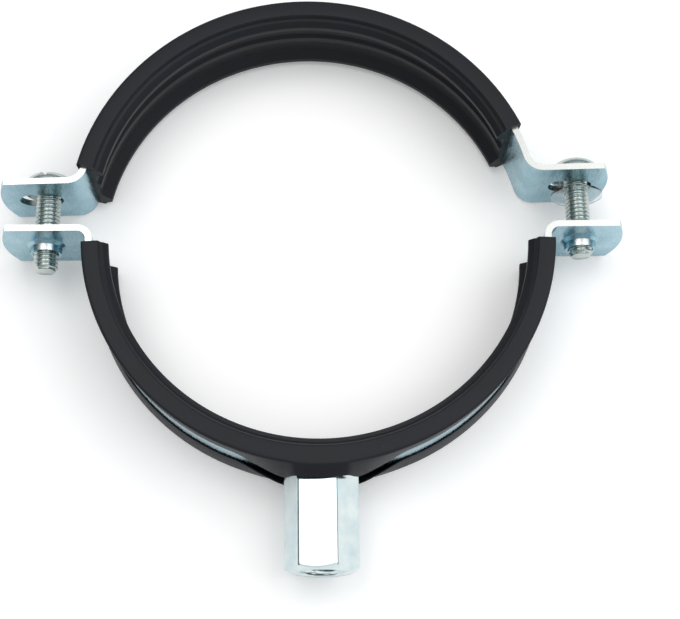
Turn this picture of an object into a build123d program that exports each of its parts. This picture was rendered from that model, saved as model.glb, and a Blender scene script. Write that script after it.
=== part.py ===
from build123d import *

import os
from math import asin, cos, degrees, radians, sin, sqrt, tan

# Two-screw pipe clamp with a rubber lining, in millimetres.
# The origin is the centre of the pipe bore, at mid-width of the strap.
# +Z runs along the pipe, -Y points to the coupling nut and +X to the right-hand ears.
# The clamp lies on its side, on the rims of its two rubber liners.

# Steel strap
strap_width = 20.0
strap_thickness = 1.5
strap_inner_r = 52.6
ear_end_r = 25.0             # the ears end in a shallow arc
lower_ear_top = 2.2          # upper faces of the lower ears above the bore's centre
lower_bend_r = 2.0           # inside radius of the tight bend into the lower ears
lower_left_ear = 20.7         # ears, measured outwards from the strap's outer radius
lower_right_ear = 18.2
upper_ear_rise = 9.3         # undersides of the upper ears above the upper arc's centre
upper_bend_r = 3.2           # inside radius of the open bend into the upper ears
upper_left_ear = 18.4
upper_right_ear = 17.9
ear_gap = 11.6               # between lower and upper ears, with the screws slack
upper_shift = -2.6           # the slack upper half has slid to the left
upper_turn = 1.2             # degrees that it leans, so that the gap is wider on the right
upper_spring = 0.6           # how far its arc has sprung open

# Threaded collars drawn down out of the lower ears
left_screw_out = 10.7        # each screw's axis, outwards from the strap's outer radius
right_screw_out = 8.3
collar_length = 2.2
collar_tip_r = 3.7
collar_draft = 6.0           # degrees of taper on the outside
collar_root = 0.7            # slope where the collar leaves the ear
collar_entry = 0.5           # slope left on the ear where the collar was drawn in

# Slots of the upper ears
slot_out = 9.0                # slot centres, outwards from the upper arc's outer radius
slot_length = 10.4
slot_width = 6.5

# M6 x 20 pan head screws, with a slot and a cross in each head
screw_r = 2.95
screw_length = 20.0
screw_tip_chamfer = 0.8
thread_clearance = 0.05
head_r = 6.0
head_height = 4.6
head_side_height = 2.2       # height at which the head's side ends
head_edge = 1.1              # steep slope between the head's side and its crown
crown_r = 2.6                # flat top of the crown
head_slot_width = 1.6
head_slot_depth = 1.5
cross_span = 6.6
cross_width = 1.7
cross_depth = 2.7
left_slot_turn = 20.0        # turn of each head's slot away from the pipe's direction
right_slot_turn = 105.0

# Plastic washer that keeps the right-hand screw from falling out
washer_r = 6.2
washer_thickness = 0.5
washer_drop = 2.4            # below the upper ear
washer_clearance = 0.03

# Coupling nut for an M10 or an M8 rod, welded under the strap
nut_across_flats = 15.0
nut_length = 23.3            # from the strap to the free end
nut_turn = 7.5               # turn of the hexagon about its own axis
nut_chamfer_angle = 30.0
nut_face_r = 7.1             # radius of the flat ring left on the free end
m10_hole_r = 4.25
m10_depth = 12.0
m8_hole_r = 3.4
mouth_chamfer = 0.9

# Rubber liners: a channel round the strap, ribbed towards the pipe
liner_fit = 0.05             # slack between strap and rubber
side_wall = 1.05
side_face_depth = 4.0        # flat rim of the channel, measured inwards from its edge
groove_floor = 1.35          # rubber between the strap and the grooves
rib_rise = 2.3               # crests of the two ribs above the grooves
rib_crest_z = 8.0
rib_crest_width = 1.3
groove_edge_z = 5.4
middle_rib_rise = 0.8
middle_rib_width = 1.8
middle_rib_foot = 3.2
lower_liner_margin = 2.5     # degrees of bare strap at each end of the lower half
upper_liner_start = 22.3
upper_liner_end = 165.8      # the upper liner has crept to the left along its strap

# Lips that fold over the strap's edges
lip_thickness = 0.95         # at the root
lip_tip_thickness = 0.7
lip_gap = 6.0                # between the two lips
lip_lift = 0.35              # how far a lip's tip stands out from its root

# The lower liner's lips are pushed up and apart by the nut
nut_lip_clearance = 0.35
spread_lift = 2.6            # lift of the tips beside the nut
corner_fold = 0.8            # share of the nut's corners over which the lips fold back
bow_lift = 1.3               # lift of the tips where they leave the nut
bow_turn = 27.0              # degrees over which the rest of the lift dies away
spread_steps = 2
bow_steps = 4

# Worked out from the sizes above
strap_mid_r = strap_inner_r + strap_thickness / 2
strap_outer_r = strap_inner_r + strap_thickness
lower_ear_under = lower_ear_top - strap_thickness
lower_left_reach = strap_outer_r + lower_left_ear
lower_right_reach = strap_outer_r + lower_right_ear
upper_mid_r = strap_mid_r + upper_spring
upper_left_reach = strap_outer_r + upper_spring + upper_left_ear
upper_right_reach = strap_outer_r + upper_spring + upper_right_ear
upper_y = lower_ear_top + ear_gap - upper_ear_rise
lean = radians(upper_turn)
along_upper = (cos(lean), sin(lean), 0)
left_screw_x = -strap_outer_r - left_screw_out
right_screw_x = strap_outer_r + right_screw_out
slot_x = strap_outer_r + upper_spring + slot_out
bore_r = screw_r + thread_clearance
nut_corner_r = nut_across_flats / sqrt(3)
nut_end_y = -strap_outer_r - nut_length
channel_half = strap_width / 2 + liner_fit
liner_half = channel_half + side_wall
channel_floor_r = strap_inner_r - liner_fit
channel_roof_r = strap_outer_r + liner_fit
groove_r = channel_floor_r - groove_floor
rib_crest_r = groove_r - rib_rise
middle_rib_r = groove_r - middle_rib_rise
rim_r = channel_roof_r + lip_thickness
spread_tip_z = nut_corner_r * cos(radians(30 - nut_turn)) + nut_lip_clearance
spread_half_turn = degrees(asin(nut_corner_r * sin(radians(30 + nut_turn)) / strap_outer_r))
spread_turn = (degrees(asin(nut_corner_r / strap_outer_r)) - spread_half_turn) * corner_fold


def section_plane(angle, x=0.0, y=0.0, spring=0.0):
    """Plane through the pipe's direction: local x is the radius about (x, y), local y is z.

    spring moves it outwards, for an arc that has opened.
    """
    out = (cos(radians(angle)), sin(radians(angle)), 0)
    return Plane(
        origin=(x + spring * out[0], y + spring * out[1], 0),
        x_dir=out,
        z_dir=(out[1], -out[0], 0),
    )


def upper_ear_height(x, rise):
    """Height at x of a face of the upper ears that stands rise above their arc's centre."""
    return upper_y + (rise + (x - upper_shift) * sin(lean)) / cos(lean)


def strap_outline(mid_r, ear_under, bend_r, side, left_reach, right_reach):
    """One half of the strap seen edge-on, about the centre of its own arc.

    side is -1 for the lower half and +1 for the upper one.  Each ear is tangent to a bend,
    and the bend to the arc, so the bend's centre is mid_r + bend_mid_r from the arc's.
    """
    bend_mid_r = bend_r + strap_thickness / 2
    ear_mid = ear_under + strap_thickness / 2
    bend_y = ear_mid + side * bend_mid_r
    bend_x = sqrt((mid_r + bend_mid_r) ** 2 - bend_y**2)
    tangent_x = bend_x * mid_r / (mid_r + bend_mid_r)
    tangent_y = bend_y * mid_r / (mid_r + bend_mid_r)
    with BuildSketch() as outline:
        with BuildLine():
            Line((-left_reach, ear_mid), (-bend_x, ear_mid))
            TangentArc((-bend_x, ear_mid), (-tangent_x, tangent_y), tangent=(1, 0))
            ThreePointArc((-tangent_x, tangent_y), (0, side * mid_r), (tangent_x, tangent_y))
            TangentArc((bend_x, ear_mid), (tangent_x, tangent_y), tangent=(-1, 0))
            Line((bend_x, ear_mid), (right_reach, ear_mid))
        trace(line_width=strap_thickness)
    return outline.sketch


def ear_outline(left_reach, right_reach):
    """A strap half as seen along its screws: square sides and shallow round ends."""
    half = strap_width / 2
    corner_inset = ear_end_r - sqrt(ear_end_r**2 - half**2)
    right_corner = right_reach - corner_inset
    left_corner = corner_inset - left_reach
    with BuildSketch() as outline:
        with BuildLine():
            Line((left_corner, -half), (right_corner, -half))
            ThreePointArc((right_corner, -half), (right_reach, 0), (right_corner, half))
            Line((right_corner, half), (left_corner, half))
            ThreePointArc((left_corner, half), (-left_reach, 0), (left_corner, -half))
        make_face()
    return outline.sketch


def liner_section(lift, tip_z):
    """A liner in section, a ribbed channel with two lips: x is the radius and y is z.

    lift is how far the lips' tips stand out, and tip_z where they end.
    """
    standing = min(1, lift / spread_lift) ** 2
    with BuildSketch() as section:
        with BuildLine():
            Polyline(
                (channel_floor_r, 0),
                (channel_floor_r, channel_half),
                (channel_roof_r, channel_half),
                (rim_r + lift - lip_tip_thickness, tip_z),
                (rim_r + lift, tip_z + lip_tip_thickness * standing),
                (rim_r, liner_half),
                (rim_r - side_face_depth, liner_half),
                (rib_crest_r, rib_crest_z + rib_crest_width / 2),
                (rib_crest_r, rib_crest_z - rib_crest_width / 2),
                (groove_r, groove_edge_z),
                (groove_r, middle_rib_foot / 2),
                (middle_rib_r, middle_rib_width / 2),
                (middle_rib_r, 0),
            )
            mirror(about=Plane.XZ)
        make_face()
    return section.sketch


def pan_head_screw(screw_x, slot_turn):
    """A screw turned about its axis, with a slot and a cross cut into its head.

    Its head rests on the leaning ear by one edge.
    """
    seat_y = upper_ear_height(screw_x, upper_ear_rise + strap_thickness) + head_r * abs(tan(lean))
    with BuildPart() as screw:
        with BuildSketch(Plane(origin=(screw_x, seat_y, 0))):
            with BuildLine():
                Polyline(
                    (0, head_height),
                    (0, -screw_length),
                    (screw_r - screw_tip_chamfer, -screw_length),
                    (screw_r, -screw_length + screw_tip_chamfer),
                    (screw_r, 0),
                    (head_r, 0),
                    (head_r, head_side_height),
                    (head_r - head_edge, head_side_height + head_edge),
                    (crown_r, head_height),
                    close=True,
                )
            make_face()
        revolve(axis=Axis((screw_x, 0, 0), (0, 1, 0)))
        top = Plane(origin=(screw_x, seat_y + head_height, 0), x_dir=(1, 0, 0), z_dir=(0, 1, 0))
        with BuildSketch(top.rotated((0, 0, slot_turn))):
            Rectangle(2.1 * head_r, head_slot_width)
        extrude(amount=-head_slot_depth, mode=Mode.SUBTRACT)
        with BuildSketch(top.rotated((0, 0, slot_turn))):
            Rectangle(cross_span, cross_width)
            Rectangle(cross_width, cross_span)
        extrude(amount=-cross_depth, mode=Mode.SUBTRACT)
    return screw.part


# ---- Lower half of the strap ----
with BuildPart() as lower_strap:
    with BuildSketch():
        add(
            strap_outline(
                strap_mid_r, lower_ear_under, lower_bend_r, -1, lower_left_reach, lower_right_reach
            )
        )
    extrude(amount=strap_width / 2, both=True)
    with BuildSketch(Plane.XZ):
        add(ear_outline(lower_left_reach, lower_right_reach))
    extrude(amount=2 * strap_outer_r, both=True, mode=Mode.INTERSECT)
    for screw_x in (left_screw_x, right_screw_x):
        collar_foot_r = collar_tip_r + (collar_length - collar_root) * tan(radians(collar_draft))
        with BuildSketch(Plane(origin=(screw_x, lower_ear_under, 0))):
            with BuildLine():
                Polyline(
                    (0, strap_thickness / 2),
                    (0, -collar_length),
                    (collar_tip_r, -collar_length),
                    (collar_foot_r, -collar_root),
                    (collar_foot_r + collar_root, 0),
                    (collar_foot_r + collar_root, strap_thickness / 2),
                    close=True,
                )
            make_face()
        revolve(axis=Axis((screw_x, 0, 0), (0, 1, 0)))
    with BuildSketch(Plane.XZ.offset(-lower_ear_top)):
        with Locations((left_screw_x, 0), (right_screw_x, 0)):
            Circle(bore_r)
    extrude(amount=strap_thickness + collar_length, mode=Mode.SUBTRACT)
    bore_edges = lower_strap.edges().filter_by(lambda edge: edge.geom_type == GeomType.CIRCLE)
    entry_edges = bore_edges.filter_by(lambda edge: abs(edge.radius - bore_r) < 0.001)
    chamfer(entry_edges.group_by(Axis.Y)[-1], length=collar_entry)

# ---- Upper half of the strap, with slotted ears, leaning and sprung open ----
with BuildPart() as upper_strap:
    with BuildSketch(Plane(origin=(upper_shift, upper_y, 0), x_dir=along_upper, z_dir=(0, 0, 1))):
        add(
            strap_outline(
                upper_mid_r, upper_ear_rise, upper_bend_r, 1, upper_left_reach, upper_right_reach
            )
        )
    extrude(amount=strap_width / 2, both=True)
    down_upper = (sin(lean), -cos(lean), 0)
    with BuildSketch(Plane(origin=(upper_shift, upper_y, 0), x_dir=along_upper, z_dir=down_upper)):
        add(ear_outline(upper_left_reach, upper_right_reach))
    extrude(amount=2 * strap_outer_r, both=True, mode=Mode.INTERSECT)
    with BuildSketch(Plane(origin=(upper_shift, upper_y, 0), x_dir=along_upper, z_dir=down_upper)):
        with Locations((-slot_x, 0), (slot_x, 0)):
            SlotOverall(slot_length, slot_width)
    extrude(amount=-upper_ear_rise - strap_thickness, mode=Mode.SUBTRACT)

# ---- Rubber liner of the lower half: plain, bowed towards the nut and folded round it ----
with BuildPart() as lower_liner:
    plain_turn = 90 - lower_liner_margin - spread_half_turn - spread_turn - bow_turn
    for start in (-180 + lower_liner_margin, -lower_liner_margin - plain_turn):
        with BuildSketch(section_plane(start)):
            add(liner_section(lip_lift, lip_gap / 2))
        revolve(axis=Axis.Z, revolution_arc=plain_turn)
    with BuildSketch(section_plane(-90 - spread_half_turn)):
        add(liner_section(spread_lift, spread_tip_z))
    revolve(axis=Axis.Z, revolution_arc=2 * spread_half_turn)
    for side in (-1, 1):
        for step in range(bow_steps + 1):
            share = step / bow_steps
            bow = share**2 * (3 - 2 * share)
            away = spread_half_turn + spread_turn + bow_turn * (1 - share)
            with BuildSketch(section_plane(-90 + side * away)):
                add(liner_section(lip_lift + (bow_lift - lip_lift) * bow, lip_gap / 2))
        loft()
        for step in range(spread_steps + 1):
            share = step / spread_steps
            rise = share**2 * (3 - 2 * share)
            away = spread_half_turn + spread_turn * (1 - share)
            lift = bow_lift + (spread_lift - bow_lift) * rise
            tip_z = lip_gap / 2 + (spread_tip_z - lip_gap / 2) * rise
            with BuildSketch(section_plane(-90 + side * away)):
                add(liner_section(lift, tip_z))
        loft(ruled=True)

# ---- Rubber liner of the upper half ----
with BuildPart() as upper_liner:
    with BuildSketch(
        section_plane(upper_liner_start + upper_turn, upper_shift, upper_y, upper_spring)
    ):
        add(liner_section(lip_lift, lip_gap / 2))
    upper_axis = Axis((upper_shift, upper_y, 0), (0, 0, 1))
    revolve(axis=upper_axis, revolution_arc=upper_liner_end - upper_liner_start)

# ---- Coupling nut ----
with BuildPart() as coupling_nut:
    with BuildSketch(Plane(origin=(0, nut_end_y, 0), x_dir=(1, 0, 0), z_dir=(0, 1, 0))):
        RegularPolygon(nut_corner_r, 6, rotation=nut_turn)
    extrude(amount=nut_length + strap_thickness)
    with BuildSketch(Plane(origin=(0, nut_end_y, 0))):
        with BuildLine():
            Polyline(
                (0, 0),
                (nut_face_r, 0),
                (2 * nut_face_r, nut_face_r * tan(radians(nut_chamfer_angle))),
                (2 * nut_face_r, nut_length + strap_thickness),
                (0, nut_length + strap_thickness),
                close=True,
            )
        make_face()
    revolve(axis=Axis.Y, mode=Mode.INTERSECT)
    with BuildSketch():
        Circle(strap_outer_r)
    extrude(amount=nut_corner_r, both=True, mode=Mode.SUBTRACT)
    with BuildSketch(Plane(origin=(0, nut_end_y, 0))):
        with BuildLine():
            Polyline(
                (0, 0),
                (m10_hole_r + mouth_chamfer, 0),
                (m10_hole_r, mouth_chamfer),
                (m10_hole_r, m10_depth),
                (m8_hole_r, m10_depth + m10_hole_r - m8_hole_r),
                (m8_hole_r, nut_length - mouth_chamfer),
                (m8_hole_r + mouth_chamfer, nut_length),
                (m8_hole_r + mouth_chamfer, nut_length + strap_thickness),
                (0, nut_length + strap_thickness),
                close=True,
            )
        make_face()
    revolve(axis=Axis.Y, mode=Mode.SUBTRACT)


# ---- Screws ----
with BuildPart() as left_screw:
    add(pan_head_screw(left_screw_x, left_slot_turn))

with BuildPart() as right_screw:
    add(pan_head_screw(right_screw_x, right_slot_turn))

# ---- Retaining washer ----
with BuildPart() as retaining_washer:
    washer_y = upper_ear_height(right_screw_x, upper_ear_rise) - washer_drop
    with BuildSketch(Plane(origin=(right_screw_x, washer_y, 0), x_dir=(1, 0, 0), z_dir=(0, -1, 0))):
        Circle(washer_r)
        Circle(screw_r + washer_clearance, mode=Mode.SUBTRACT)
    extrude(amount=washer_thickness)

lower_strap.part.label = "lower_strap"
upper_strap.part.label = "upper_strap"
lower_liner.part.label = "lower_liner"
upper_liner.part.label = "upper_liner"
coupling_nut.part.label = "coupling_nut"
left_screw.part.label = "left_screw"
right_screw.part.label = "right_screw"
retaining_washer.part.label = "retaining_washer"

os.makedirs("parts", exist_ok=True)
export_step(lower_strap.part, "parts/lower_strap.step")
export_step(upper_strap.part, "parts/upper_strap.step")
export_step(lower_liner.part, "parts/lower_liner.step")
export_step(upper_liner.part, "parts/upper_liner.step")
export_step(coupling_nut.part, "parts/coupling_nut.step")
export_step(left_screw.part, "parts/left_screw.step")
export_step(right_screw.part, "parts/right_screw.step")
export_step(retaining_washer.part, "parts/retaining_washer.step")
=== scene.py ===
import math

import bmesh
import bpy
from mathutils import Matrix, Vector


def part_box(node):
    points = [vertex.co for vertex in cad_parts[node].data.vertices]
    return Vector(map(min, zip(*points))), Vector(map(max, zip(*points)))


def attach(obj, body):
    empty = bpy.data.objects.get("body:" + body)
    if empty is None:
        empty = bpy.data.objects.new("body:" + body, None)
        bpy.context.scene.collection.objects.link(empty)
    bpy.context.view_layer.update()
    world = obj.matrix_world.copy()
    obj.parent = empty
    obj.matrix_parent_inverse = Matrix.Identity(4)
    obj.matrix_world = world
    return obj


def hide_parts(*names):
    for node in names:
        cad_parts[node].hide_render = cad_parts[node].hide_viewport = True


# Looks of the rubber lined pipe clamp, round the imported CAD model.
# Blender works in metres; the shapes below are given in millimetres and scaled by MM.
# The straps and the washer keep their CAD shapes.  The liners, the nut and the screws are
# replaced by the same forms with rounded edges, threads and domed heads.

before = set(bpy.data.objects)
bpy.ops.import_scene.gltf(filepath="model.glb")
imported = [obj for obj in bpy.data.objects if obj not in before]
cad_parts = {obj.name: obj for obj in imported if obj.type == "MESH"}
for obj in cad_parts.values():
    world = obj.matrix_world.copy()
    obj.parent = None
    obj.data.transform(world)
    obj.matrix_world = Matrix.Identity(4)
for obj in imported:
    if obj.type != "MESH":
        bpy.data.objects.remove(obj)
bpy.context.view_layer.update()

MM = 0.001
WHITE = (1.0, 1.0, 1.0, 1.0)

# The camera looks down on the clamp from the side of the coupling nut.
IMAGE_WIDTH = 680            # pixels
FOCAL_PX = 1441.5            # focal length in the same pixels
SENSOR_WIDTH = 36.0
CAMERA_DISTANCE = 344.3 * MM
CAMERA_ELEVATION = 69.06     # degrees, as are the angles below
CAMERA_AZIMUTH = -0.15
CAMERA_YAW = 0.822           # turns of the camera away from the origin
CAMERA_PITCH = -2.508
CAMERA_ROLL = -0.370

# Lamps: place in metres, size of the square in metres and power in watts
KEY_LAMP = ((0.70, 0.10, 0.95), 0.9, 3.6)
OVERHEAD_LAMP = ((-0.28, 0.17, 0.95), 0.5, 1.6)
WORLD_STRENGTH = 0.88
FLOOR_SIZE = 4.0             # metres
FLOOR_GLOW = 0.16            # added to the floor where it is seen, so that it stays white

# Halves of the clamp
STRAP_OUTER_R = 54.1
UPPER_CENTRE = (-2.6, 4.5)   # centre of the upper half's arc, which has slid and sprung open
UPPER_SPRING = 0.6           # added to the upper liner's radii
LOWER_ARC = (-177.5, -2.5)   # degrees covered by each liner
UPPER_ARC = (23.5, 167.0)

# Screws, measured from the seat of the head
SCREW_R = 2.95
SCREW_LENGTH = 20.0
SCREW_SIDES = 48
TIP_CHAMFER = 0.8
THREAD_PITCH = 1.0
THREAD_DEPTH = 0.55
THREAD_ROWS = 12             # rows of points in one pitch
THREAD_IN_HEAD = 0.6         # how far the shank runs into the head
HEAD_R = 6.0
HEAD_HEIGHT = 4.6
HEAD_SIDE_HEIGHT = 1.3       # where the dome begins
HEAD_SIDES = 64
DOME_STEPS = 12
DOME_FULLNESS = 0.62         # below 1 the dome is fuller than an ellipse
SLOT_WIDTH = 1.6
SLOT_DEPTH = 1.9
CROSS_SPAN = 6.6
CROSS_WIDTH = 1.7
CROSS_DEPTH = 2.9
HEAD_WEAR = 0.14             # bevel on the edges of slot and cross
LEFT_SLOT_TURN = 82.0        # degrees from the X axis
RIGHT_SLOT_TURN = 15.0

# Coupling nut
NUT_ACROSS_FLATS = 15.0
NUT_TURN = 7.5               # degrees
NUT_END_Y = -77.4
NUT_CORNER_WEAR = 0.9
NUT_FACE_R = 7.1             # flat ring on the free end
NUT_CHAMFER_ANGLE = 30.0     # degrees from the end face
MOUTH_R = 5.15
INNER_END_R = 4.3            # of the bore where it reaches the strap
NUT_THREAD_ROWS = 10         # rows of points in one pitch
# Each thread: first and last depth in the nut, radius of its crests, pitch and depth
M10_THREAD = (0.06, 12.0, 4.25, 1.5, 0.72)
M8_THREAD = (12.2, 22.4, 3.4, 1.25, 0.55)

# Section of the liners
CHANNEL_FLOOR_R = 52.55
CHANNEL_ROOF_R = 54.15
CHANNEL_HALF = 10.05
RIM_R = 55.1
RIM_INNER_R = 51.1
LINER_HALF = 11.1
RIB_CREST_R = 48.9
GROOVE_R = 51.2
MIDDLE_RIB_R = 50.4
LIP_TIP = 0.32               # thickness of the lips' tips

# The lower liner's lips: how far their tips stand out from the rim, and how far from mid-width
PLAIN_LIFT = -0.60
PLAIN_TIP_Z = 4.3
BOW_LIFT = 1.7
SPREAD_LIFT = 2.6
SPREAD_TIP_Z = 8.35
# Degrees away from the nut's axis
SPREAD_TURN = 5.6            # the lips are full up as far as this
FOLD_TURN = 8.5              # where the tips have folded back towards mid-width
SWELL_TURN = 14.0            # where the extra lift over the nut has died away
BOW_TURN = 22.0              # where the bow has died away


# ---------------------------------------------------------------- node helpers
def new_material(name):
    """A material with its node tree and its principled shader."""
    material = bpy.data.materials.new(name)
    material.use_nodes = True
    tree = material.node_tree
    return material, tree, tree.nodes["Principled BSDF"]


def feed(tree, socket, value):
    """Link a node's output to a socket, or set the socket to a plain value."""
    if isinstance(value, bpy.types.NodeSocket):
        tree.links.new(value, socket)
    else:
        socket.default_value = value


def add_node(tree, kind, inputs=None, **settings):
    """Add a node; inputs are fed by name or number."""
    node = tree.nodes.new(kind)
    for key, value in settings.items():
        setattr(node, key, value)
    for key, value in (inputs or {}).items():
        feed(tree, node.inputs[key], value)
    return node


def math_node(tree, operation, first, second=0.0):
    inputs = {0: first, 1: second}
    return add_node(tree, "ShaderNodeMath", inputs, operation=operation).outputs[0]


def split_xyz(tree, vector):
    return add_node(tree, "ShaderNodeSeparateXYZ", {0: vector}).outputs


def noise(tree, vector, scale, detail=3.0, roughness=0.55):
    inputs = {"Vector": vector, "Scale": scale, "Detail": detail, "Roughness": roughness}
    return add_node(tree, "ShaderNodeTexNoise", inputs).outputs["Fac"]


def ramp(tree, value, *stops):
    """Colour ramp; each stop is (position, colour)."""
    node = add_node(tree, "ShaderNodeValToRGB", {0: value})
    elements = node.color_ramp.elements
    while len(elements) < len(stops):
        elements.new(0.5)
    for element, (position, colour) in zip(elements, stops):
        element.position = position
        element.color = (*colour, 1.0)
    return node.outputs["Color"]


def map_range(tree, value, low, high, to_low, to_high):
    inputs = {0: value, 1: low, 2: high, 3: to_low, 4: to_high}
    return add_node(tree, "ShaderNodeMapRange", inputs).outputs[0]


def mix_colour(tree, share, first, second, blend="MIX"):
    inputs = {0: share, 6: first, 7: second}
    return add_node(tree, "ShaderNodeMix", inputs, data_type="RGBA", blend_type=blend).outputs[2]


def object_point(tree, scale=(1.0, 1.0, 1.0)):
    """Object coordinates in millimetres, stretched by scale."""
    coordinates = add_node(tree, "ShaderNodeTexCoord").outputs["Object"]
    inputs = {"Vector": coordinates, "Scale": tuple(s / MM for s in scale)}
    return add_node(tree, "ShaderNodeMapping", inputs).outputs[0]


def polar_point(tree, centre):
    """Coordinates round the pipe in millimetres: along the arc, outwards and along the pipe."""
    inputs = {0: object_point(tree), 1: (-centre[0], -centre[1], 0.0)}
    shifted = add_node(tree, "ShaderNodeVectorMath", inputs, operation="ADD").outputs[0]
    x, y, z = split_xyz(tree, shifted)
    angle = math_node(tree, "ARCTAN2", x, math_node(tree, "MULTIPLY", y, -1.0))
    x_squared = math_node(tree, "MULTIPLY", x, x)
    y_squared = math_node(tree, "MULTIPLY", y, y)
    radius = math_node(tree, "SQRT", math_node(tree, "ADD", x_squared, y_squared))
    mean_r = 52.0
    return math_node(tree, "MULTIPLY", angle, mean_r), radius, z


def add_bump(tree, shader, height, strength, distance):
    inputs = {"Height": height, "Strength": strength, "Distance": distance}
    tree.links.new(add_node(tree, "ShaderNodeBump", inputs).outputs[0], shader.inputs["Normal"])


# ---------------------------------------------------------------- materials
def rubber(name, centre):
    """Satin black extruded rubber, with faint lines along the extrusion and a little dust."""
    material, tree, shader = new_material(name)
    along, radius, z = polar_point(tree, centre)
    stretched = {0: math_node(tree, "MULTIPLY", along, 0.03), 1: radius, 2: z}
    lines = add_node(tree, "ShaderNodeCombineXYZ", stretched).outputs[0]
    point = object_point(tree)
    streaks = noise(tree, lines, 2.0, detail=3.0)
    patches = noise(tree, point, 0.12, detail=2.0)
    grain = noise(tree, point, 6.0, detail=2.0)
    dark_blue = (0.0055, 0.0072, 0.0110)
    pale_blue = (0.0100, 0.0122, 0.0175)
    brown = (0.0110, 0.0092, 0.0095, 1.0)
    dust = (0.10, 0.095, 0.095, 1.0)
    base = ramp(tree, streaks, (0.3, dark_blue), (0.75, pale_blue))
    base = mix_colour(tree, map_range(tree, patches, 0.35, 0.7, 0.0, 0.6), base, brown)
    cells = add_node(tree, "ShaderNodeTexVoronoi", {"Vector": point, "Scale": 0.45})
    specks = map_range(tree, cells.outputs["Distance"], 0.020, 0.045, 0.45, 0.0)
    base = mix_colour(tree, specks, base, dust)
    tree.links.new(base, shader.inputs["Base Color"])
    roughness = map_range(tree, streaks, 0.2, 0.8, 0.42, 0.58)
    tree.links.new(roughness, shader.inputs["Roughness"])
    shader.inputs["Specular IOR Level"].default_value = 0.27
    height = math_node(tree, "ADD", streaks, math_node(tree, "MULTIPLY", grain, 0.3))
    add_bump(tree, shader, height, 0.10, 0.2 * MM)
    return material


def zinc(name, tint, bright, rough, painted_edge_highlight=False):
    """Bright zinc plating: cool and a little cloudy, with fine rolling lines and small pits.

    The last option makes the faces across the pipe, the strip's cut sides, paler: a painted highlight
    where they look up towards the lamps.
    """
    material, tree, shader = new_material(name)
    point = object_point(tree)
    clouds = noise(tree, point, 0.16, detail=3.0)
    lines = noise(tree, object_point(tree, (1.0, 1.0, 0.12)), 1.6, detail=4.0)
    pits = noise(tree, point, 1.5, detail=5.0, roughness=0.7)
    pit_colour = (0.10, 0.13, 0.14, 1.0)
    edge_highlight_colour = (0.70, 0.70, 0.67, 1.0)
    base = ramp(tree, clouds, (0.34, tint), (0.68, bright))
    base = mix_colour(tree, map_range(tree, pits, 0.69, 0.80, 0.0, 0.55), base, pit_colour)
    # Painted highlight: faces across the pipe are made paler, standing in for the glare of the lamps
    # above.
    if painted_edge_highlight:
        normal = add_node(tree, "ShaderNodeTexCoord").outputs["Normal"]
        across = math_node(tree, "ABSOLUTE", split_xyz(tree, normal)[2])
        share = map_range(tree, across, 0.80, 0.97, 0.0, 1.0)
        base = mix_colour(tree, share, base, edge_highlight_colour)
    tree.links.new(base, shader.inputs["Base Color"])
    shader.inputs["Metallic"].default_value = 1.0
    roughness = map_range(tree, lines, 0.25, 0.75, rough - 0.05, rough + 0.08)
    tree.links.new(roughness, shader.inputs["Roughness"])
    height = math_node(tree, "ADD", clouds, math_node(tree, "MULTIPLY", lines, 0.15))
    add_bump(tree, shader, height, 0.05, 0.3 * MM)
    return material


def clear_plastic(name):
    """Soft translucent plastic, thin enough to see through."""
    material, tree, shader = new_material(name)
    haze = noise(tree, object_point(tree), 0.8, detail=3.0)
    tint = ramp(tree, haze, (0.3, (0.80, 0.87, 0.87)), (0.7, (0.92, 0.95, 0.95)))
    tree.links.new(tint, shader.inputs["Base Color"])
    tree.links.new(map_range(tree, haze, 0.3, 0.7, 0.06, 0.16), shader.inputs["Roughness"])
    shader.inputs["Transmission Weight"].default_value = 1.0
    shader.inputs["IOR"].default_value = 1.45
    return material


def white_floor(name):
    """White floor: it is seen as white and still takes the object's shadow."""
    material, tree, shader = new_material(name)
    shader.inputs["Roughness"].default_value = 0.9
    shader.inputs["Specular IOR Level"].default_value = 0.0
    shader.inputs["Base Color"].default_value = (0.97, 0.95, 0.94, 1.0)
    rays = add_node(tree, "ShaderNodeLightPath").outputs
    seen = math_node(tree, "MAXIMUM", rays["Is Camera Ray"], rays["Is Transmission Ray"])
    seen = math_node(tree, "MAXIMUM", seen, rays["Is Glossy Ray"])
    shader.inputs["Emission Color"].default_value = WHITE
    glow = math_node(tree, "MULTIPLY", seen, FLOOR_GLOW)
    tree.links.new(glow, shader.inputs["Emission Strength"])
    return material


# ---------------------------------------------------------------- mesh helpers
def smooth(mesh, sharp_angle):
    """Smooth shading, but for edges sharper than sharp_angle in degrees."""
    mesh.polygons.foreach_set("use_smooth", [True] * len(mesh.polygons))
    mesh.set_sharp_from_angle(angle=math.radians(sharp_angle))


def make_piece(name, points, faces, material, sharp_angle):
    """A mesh piece from points in millimetres."""
    mesh = bpy.data.meshes.new(name)
    mesh.from_pydata([tuple(MM * c for c in point) for point in points], [], faces)
    work = bmesh.new()
    work.from_mesh(mesh)
    bmesh.ops.remove_doubles(work, verts=work.verts, dist=1e-7)
    bmesh.ops.recalc_face_normals(work, faces=work.faces)
    work.to_mesh(mesh)
    work.free()
    smooth(mesh, sharp_angle)
    piece = bpy.data.objects.new(name, mesh)
    bpy.context.scene.collection.objects.link(piece)
    mesh.materials.append(material)
    return piece


def place(piece, node, body):
    """Hide the CAD node that a piece stands for, and hang the piece on the body that it rides on."""
    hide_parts(node)
    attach(piece, body)


def apply_modifiers(piece):
    evaluated = piece.evaluated_get(bpy.context.evaluated_depsgraph_get())
    mesh = bpy.data.meshes.new_from_object(evaluated)
    piece.modifiers.clear()
    piece.data = mesh


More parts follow.
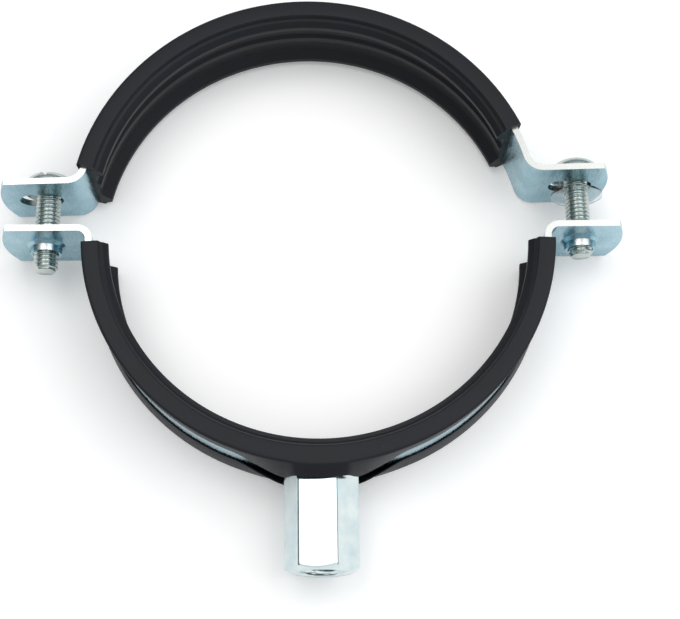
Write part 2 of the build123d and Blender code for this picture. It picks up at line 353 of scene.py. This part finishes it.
def join_rings(ring_count, ring_length, closed=False):
    """Quads between rings of points; closed joins the last ring to the first."""
    faces = []
    for ring in range(ring_count if closed else ring_count - 1):
        this = ring * ring_length
        following = (ring + 1) % ring_count * ring_length
        for side in range(ring_length):
            beside = (side + 1) % ring_length
            faces.append((this + side, this + beside, following + beside, following + side))
    return faces


def ring_about_y(radii, angles, height):
    """Points about the Y axis, one for each radius and angle."""
    return [(r * math.cos(a), height, r * math.sin(a)) for r, a in zip(radii, angles)]


def even_angles(count):
    return [math.tau * index / count for index in range(count)]


def rounded(points, radii, steps):
    """A closed outline with its corners rounded; each corner becomes steps + 1 points."""
    result = []
    count = len(points)
    for index in range(count):
        corner = Vector(points[index])
        before = Vector(points[index - 1]) - corner
        after = Vector(points[(index + 1) % count]) - corner
        half_turn = before.angle(after) / 2
        longest_cut = 0.48 * min(before.length, after.length)
        cut = min(radii[index] / math.tan(half_turn), longest_cut)
        start = corner + before.normalized() * cut
        end = corner + after.normalized() * cut
        for step in range(steps + 1):
            t = step / steps
            result.append((1 - t) ** 2 * start + 2 * t * (1 - t) * corner + t**2 * end)
    return result


def smoothstep(value, low, high):
    """0 below low, 1 above high, and smooth between them."""
    share = min(1.0, max(0.0, (value - low) / (high - low)))
    return share * share * (3 - 2 * share)


def thread_hollow(height, angle, pitch, crest, root):
    """Depth of a softened V thread, from 0 on its crests to 1 at its roots.

    It is right-handed.  Its slope runs from crest to root, given as shares of the way from the
    middle of a crest to the middle of a root.
    """
    phase = (height / pitch + angle / math.tau) % 1.0
    return smoothstep(1 - abs(2 * phase - 1), crest, root)


# ---------------------------------------------------------------- screws
def shank_rings():
    """Rings from the tip to inside the head, about the screw's own axis."""
    rings = []
    angles = even_angles(SCREW_SIDES)
    count = int((SCREW_LENGTH + THREAD_IN_HEAD) / THREAD_PITCH * THREAD_ROWS)
    for row in range(count + 1):
        height = -SCREW_LENGTH + row * THREAD_PITCH / THREAD_ROWS
        limit = SCREW_R - TIP_CHAMFER + (height + SCREW_LENGTH)
        radii = []
        for angle in angles:
            hollow = thread_hollow(height, angle, THREAD_PITCH, 0.12, 0.80)
            radii.append(min(limit, SCREW_R - THREAD_DEPTH * hollow))
        rings.append(ring_about_y(radii, angles, height))
    return rings


def head_rings():
    """Rings of a domed pan head, from its seat to near its top."""
    profile = [(HEAD_R - 0.45, 0.0), (HEAD_R - 0.12, 0.13), (HEAD_R, 0.45)]
    profile.append((HEAD_R, HEAD_SIDE_HEIGHT))
    for step in range(1, DOME_STEPS):
        turn = math.radians(90 * step / DOME_STEPS)
        radius = HEAD_R * math.cos(turn) ** DOME_FULLNESS
        height = HEAD_SIDE_HEIGHT + (HEAD_HEIGHT - HEAD_SIDE_HEIGHT) * math.sin(turn)
        profile.append((radius, height))
    angles = even_angles(HEAD_SIDES)
    return [ring_about_y([radius] * HEAD_SIDES, angles, height) for radius, height in profile]


def closed_solid(rings, top_height):
    """Points and faces of a stack of rings, closed with a fan at each end."""
    sides = len(rings[0])
    points = [point for ring in rings for point in ring]
    faces = join_rings(len(rings), sides)
    last = len(points) - sides
    for first, height in ((0, rings[0][0][1]), (last, top_height)):
        middle = len(points)
        points.append((0.0, height, 0.0))
        faces += [(first + side, first + (side + 1) % sides, middle) for side in range(sides)]
    return points, faces


def cut_box(piece, size, centre, turn):
    """Cut a box, turned about the screw's axis, out of a piece."""
    work = bmesh.new()
    bmesh.ops.create_cube(work, size=1.0)
    matrix = Matrix.Rotation(turn, 4, "Y") @ Matrix.Diagonal((*size, 1.0))
    bmesh.ops.transform(work, matrix=matrix, verts=work.verts)
    bmesh.ops.translate(work, vec=centre, verts=work.verts)
    bmesh.ops.scale(work, vec=(MM, MM, MM), verts=work.verts)
    mesh = bpy.data.meshes.new("cutter")
    work.to_mesh(mesh)
    work.free()
    cutter = bpy.data.objects.new("cutter", mesh)
    bpy.context.scene.collection.objects.link(cutter)
    modifier = piece.modifiers.new("cut", "BOOLEAN")
    modifier.operation = "DIFFERENCE"
    modifier.solver = "EXACT"
    modifier.object = cutter
    apply_modifiers(piece)
    bpy.data.objects.remove(cutter)


def wear_edges(piece):
    """Round the edges of a head's slot and cross a little."""
    bevel = piece.modifiers.new("worn_edges", "BEVEL")
    bevel.width = HEAD_WEAR * MM
    bevel.segments = 2
    bevel.limit_method = "ANGLE"
    bevel.angle_limit = math.radians(45)
    apply_modifiers(piece)
    smooth(piece.data, 50.0)


def make_screw(node, material, slot_turn):
    """Head with its slot and cross, and a threaded shank, in place of a CAD screw."""
    low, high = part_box(node)
    axis_x = (low[0] + high[0]) / 2
    seat_y = high[1] - HEAD_HEIGHT * MM
    head_shape = closed_solid(head_rings(), HEAD_HEIGHT)
    head = make_piece(node + "_head", *head_shape, material, 40.0)
    top = (0, HEAD_HEIGHT, 0)
    turn = math.radians(slot_turn)
    cut_box(head, (2.2 * HEAD_R, 2 * SLOT_DEPTH, SLOT_WIDTH), top, turn)
    cut_box(head, (CROSS_SPAN, 2 * CROSS_DEPTH, CROSS_WIDTH), top, turn)
    cut_box(head, (CROSS_WIDTH, 2 * CROSS_DEPTH, CROSS_SPAN), top, turn)
    wear_edges(head)
    rings = shank_rings()
    shank_shape = closed_solid(rings, rings[-1][0][1])
    shank = make_piece(node + "_thread", *shank_shape, material, 80.0)
    for piece in (head, shank):
        piece.data.transform(Matrix.Translation((axis_x, seat_y, 0.0)))
        place(piece, node, node)


# ---------------------------------------------------------------- coupling nut
def nut_outline():
    """The hexagon as seen along the nut, with worn corners: (x, z) points."""
    corner_r = NUT_ACROSS_FLATS / math.sqrt(3)
    corners = []
    for index in range(6):
        turn = math.radians(60 * index + NUT_TURN)
        corners.append((corner_r * math.cos(turn), corner_r * math.sin(turn)))
    points = rounded(corners, [NUT_CORNER_WEAR] * 6, 4)
    outline = []
    flat_steps = 10
    for index, point in enumerate(points):
        following = points[(index + 1) % len(points)]
        steps = flat_steps if (following - point).length > 1.0 else 1
        outline += [point.lerp(following, step / steps) for step in range(steps)]
    return outline


def ring_on_strap(radii, angles):
    """Points where a tube of these radii meets the strap's outer surface."""
    flat = ring_about_y(radii, angles, 0.0)
    return [(x, -math.sqrt(STRAP_OUTER_R**2 - x * x), z) for x, _, z in flat]


def nut_outside(reach, angles):
    """Rings of the nut from the strap to its mouth; reach is the hexagon's radius at each angle."""
    slope = math.tan(math.radians(NUT_CHAMFER_ANGLE))
    rings = [ring_on_strap(reach, angles)]
    # Three rings round the worn edge between the flats and the turned chamfer.
    for behind, inside in ((0.45, 0.0), (0.14, 0.02), (-0.04, 0.10)):
        ring = []
        for radius, angle in zip(reach, angles):
            height = NUT_END_Y + (radius - NUT_FACE_R) * slope + behind
            ring += ring_about_y([radius - inside], [angle], height)
        rings.append(ring)
    face = ((NUT_FACE_R + 0.12, 0.07), (NUT_FACE_R - 0.1, 0.0), (MOUTH_R + 0.1, 0.0), (MOUTH_R, 0.06))
    for radius, behind in face:
        rings.append(ring_about_y([radius] * len(angles), angles, NUT_END_Y + behind))
    return rings


def nut_thread(angles, start, end, crest_r, pitch, depth, mouth_r):
    """Rings of one inner thread; mouth_r is the radius of the chamfer at depth 0, or 0."""
    rings = []
    for row in range(int((end - start) / pitch * NUT_THREAD_ROWS) + 1):
        inwards = start + row * pitch / NUT_THREAD_ROWS
        radii = []
        for angle in angles:
            groove = 1 - thread_hollow(inwards, angle, pitch, 0.15, 0.80)
            radii.append(max(mouth_r - inwards, crest_r + depth * groove))
        rings.append(ring_about_y(radii, angles, NUT_END_Y + inwards))
    return rings


def make_nut(material):
    """Hexagon with worn corners, a turned end and M10 and M8 threads, closed on itself."""
    outline = nut_outline()
    angles = [math.atan2(z, x) for x, z in outline]
    reach = [math.hypot(x, z) for x, z in outline]
    rings = nut_outside(reach, angles)
    rings += nut_thread(angles, *M10_THREAD, MOUTH_R)
    rings += nut_thread(angles, *M8_THREAD, 0.0)
    rings.append(ring_on_strap([INNER_END_R] * len(angles), angles))
    points = [point for ring in rings for point in ring]
    faces = join_rings(len(rings), len(angles), closed=True)
    piece = make_piece("coupling_nut_threaded", points, faces, material, 28.0)
    place(piece, "coupling_nut", "lower_half")


# ---------------------------------------------------------------- rubber liners
def liner_section(lift, tip_z, standing):
    """Outline of a liner as (radius, z) points: a ribbed channel with two lips.

    lift is how far the lips' tips stand out, tip_z where they end, and standing how square
    their ends are.
    """
    tip_r = RIM_R + lift
    # Half of the section: (radius, z) and the rounding of each corner
    half = [
        ((CHANNEL_FLOOR_R, CHANNEL_HALF), 0.1),
        ((CHANNEL_ROOF_R, CHANNEL_HALF), 0.25),
        ((tip_r - LIP_TIP, tip_z), 0.18),
        ((tip_r, tip_z + LIP_TIP * standing), 0.22),
        ((RIM_R, LINER_HALF), 0.75),
        ((RIM_INNER_R, LINER_HALF), 0.45),
        ((50.62, 10.45), 0.06),
        ((50.78, 10.10), 0.06),
        ((50.05, 9.80), 0.15),
        ((RIB_CREST_R, 8.65), 0.35),
        ((RIB_CREST_R, 7.35), 0.45),
        ((GROOVE_R, 5.4), 0.5),
        ((GROOVE_R, 1.6), 0.35),
        ((MIDDLE_RIB_R, 0.9), 0.25),
    ]
    corners = half + [((radius, -z), rounding) for (radius, z), rounding in reversed(half)]
    return rounded([corner for corner, _ in corners], [rounding for _, rounding in corners], 3)


def lower_section(turn):
    """Section of the lower liner at a turn in degrees: its lips fold up and apart by the nut."""
    away = abs(turn + 90)
    bow = 1 - smoothstep(away, FOLD_TURN, BOW_TURN)
    rise = 1 - smoothstep(away, SPREAD_TURN, FOLD_TURN)
    swell = 1 - smoothstep(away, SPREAD_TURN - 1.0, SWELL_TURN)
    lift = PLAIN_LIFT + (BOW_LIFT - PLAIN_LIFT) * bow + (SPREAD_LIFT - BOW_LIFT) * swell
    tip_z = PLAIN_TIP_Z + (SPREAD_TIP_Z - PLAIN_TIP_Z) * rise
    return liner_section(lift, tip_z, rise)


def sweep_liner(name, centre, spring, turns, section_at, material):
    """A liner swept round its centre through turns in degrees, with closed ends."""
    points = []
    for turn in turns:
        across, up = math.cos(math.radians(turn)), math.sin(math.radians(turn))
        for radius, z in section_at(turn):
            reach = radius + spring
            points.append((centre[0] + reach * across, centre[1] + reach * up, z))
    size = len(points) // len(turns)
    faces = join_rings(len(turns), size)
    faces.append(tuple(range(size)))
    faces.append(tuple(range(len(points) - size, len(points))))
    piece = make_piece(name, points, faces, material, 38.0)
    work = bmesh.new()
    work.from_mesh(piece.data)
    ends = [face for face in work.faces if len(face.verts) > 4]
    bmesh.ops.triangulate(work, faces=ends, ngon_method="EAR_CLIP")
    work.to_mesh(piece.data)
    work.free()
    return piece


def lower_turns():
    """Turns of the lower liner's sections: even along it, and closer where its lips fold."""
    start, end = LOWER_ARC
    steps = 140
    turns = [start + (end - start) * step / steps for step in range(steps + 1)]
    turns = [turn for turn in turns if abs(turn + 90) > FOLD_TURN + 0.2]
    fold_steps = 8
    for side in (-1, 1):
        for step in range(fold_steps + 1):
            away = SPREAD_TURN + (FOLD_TURN - SPREAD_TURN) * step / fold_steps
            turns.append(-90 + side * away)
    turns += [-90 + 1.4 * step for step in range(-3, 4)]
    return sorted(turns)


def make_liners(lower_material, upper_material):
    lower = sweep_liner(
        "lower_liner_moulding", (0.0, 0.0), 0.0, lower_turns(), lower_section, lower_material)
    place(lower, "lower_liner", "lower_half")
    start, end = UPPER_ARC
    steps = 110
    turns = [start + (end - start) * step / steps for step in range(steps + 1)]
    plain = liner_section(PLAIN_LIFT, PLAIN_TIP_Z, 0.0)
    upper = sweep_liner(
        "upper_liner_moulding", UPPER_CENTRE, UPPER_SPRING, turns, lambda turn: plain, upper_material)
    place(upper, "upper_liner", "upper_half")


# ---------------------------------------------------------------- scene
def set_camera():
    """Place the camera; yaw, pitch and roll turn it away from looking at the origin."""
    azimuth, elevation = math.radians(CAMERA_AZIMUTH), math.radians(CAMERA_ELEVATION)
    yaw, pitch, roll = (math.radians(a) for a in (CAMERA_YAW, CAMERA_PITCH, CAMERA_ROLL))
    level = math.cos(elevation)
    away = Vector((math.sin(azimuth) * level, -math.cos(azimuth) * level, math.sin(elevation)))
    right = Vector((math.cos(azimuth), math.sin(azimuth), 0.0))
    up = away.cross(right)
    level_view = right * math.sin(yaw) - away * math.cos(yaw)
    back = -(level_view * math.cos(pitch) + up * math.sin(pitch)).normalized()
    side = up.cross(back).normalized()
    top = back.cross(side)
    rolled_side = side * math.cos(roll) + top * math.sin(roll)
    rolled_top = top * math.cos(roll) - side * math.sin(roll)
    data = bpy.data.cameras.new("camera")
    data.sensor_width = SENSOR_WIDTH
    data.lens = FOCAL_PX / IMAGE_WIDTH * SENSOR_WIDTH
    data.clip_start = 0.01
    camera = bpy.data.objects.new("camera", data)
    turned = Matrix((rolled_side, rolled_top, back)).transposed().to_4x4()
    camera.matrix_world = Matrix.Translation(away * CAMERA_DISTANCE) @ turned
    bpy.context.scene.collection.objects.link(camera)
    bpy.context.scene.camera = camera


def area_lamp(name, position, size, power):
    """A square lamp that points to the origin."""
    data = bpy.data.lights.new(name, "AREA")
    data.shape = "SQUARE"
    data.size = size
    data.energy = power
    lamp = bpy.data.objects.new(name, data)
    lamp.location = position
    lamp.rotation_euler = (-Vector(position)).to_track_quat("-Z", "Y").to_euler()
    bpy.context.scene.collection.objects.link(lamp)


def set_world():
    """White to the camera; to the object, a room with a bright top and a darker left side."""
    world = bpy.data.worlds.new("studio")
    bpy.context.scene.world = world
    world.use_nodes = True
    tree = world.node_tree
    background = tree.nodes["Background"]
    direction = add_node(tree, "ShaderNodeTexCoord").outputs["Generated"]
    across, _, height = split_xyz(tree, direction)
    walls, middle, ceiling = (0.30, 0.35, 0.38), (0.50, 0.54, 0.57), (1.15, 1.15, 1.14)
    upwards = ramp(tree, map_range(tree, height, 0.0, 1.0, 0.0, 1.0),
                   (0.0, walls), (0.45, middle), (0.85, ceiling))
    left, centre, right = (0.26, 0.31, 0.31), (0.98, 0.98, 0.98), (1.0, 1.06, 1.12)
    sideways = ramp(tree, map_range(tree, across, -1.0, 1.0, 0.0, 1.0),
                    (0.0, left), (0.34, centre), (1.0, right))
    room = mix_colour(tree, 1.0, upwards, sideways, "MULTIPLY")
    camera_ray = add_node(tree, "ShaderNodeLightPath").outputs["Is Camera Ray"]
    colour = mix_colour(tree, camera_ray, room, WHITE)
    strength = map_range(tree, camera_ray, 0.0, 1.0, WORLD_STRENGTH, 1.0)
    tree.links.new(colour, background.inputs["Color"])
    tree.links.new(strength, background.inputs["Strength"])


def set_floor():
    """A floor under the rims that the clamp lies on."""
    floor_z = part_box("lower_liner")[0][2]
    bpy.ops.mesh.primitive_plane_add(size=FLOOR_SIZE, location=(0.0, 0.0, floor_z))
    floor = bpy.context.object
    floor.name = "floor"
    floor.data.materials.append(white_floor("white_floor"))


def dress(node, material):
    """Give a CAD node its finish."""
    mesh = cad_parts[node].data
    mesh.materials.clear()
    mesh.materials.append(material)


set_camera()
set_world()
set_floor()
area_lamp("key", *KEY_LAMP)
area_lamp("overhead", *OVERHEAD_LAMP)

lower_rubber = rubber("lower_liner_rubber", (0.0, 0.0))
upper_rubber = rubber("upper_liner_rubber", UPPER_CENTRE)
strap_zinc = zinc("strap_zinc", (0.29, 0.47, 0.54), (0.40, 0.58, 0.65), 0.26, painted_edge_highlight=True)
nut_zinc = zinc("nut_zinc", (0.55, 0.66, 0.69), (0.72, 0.79, 0.78), 0.16)
screw_zinc = zinc("screw_zinc", (0.44, 0.50, 0.48), (0.56, 0.60, 0.57), 0.24)

dress("lower_strap", strap_zinc)
dress("upper_strap", strap_zinc)
dress("retaining_washer", clear_plastic("washer_plastic"))
make_liners(lower_rubber, upper_rubber)
make_nut(nut_zinc)
make_screw("left_screw", screw_zinc, LEFT_SLOT_TURN)
make_screw("right_screw", screw_zinc, RIGHT_SLOT_TURN)

bpy.context.scene.view_settings.view_transform = "Standard"
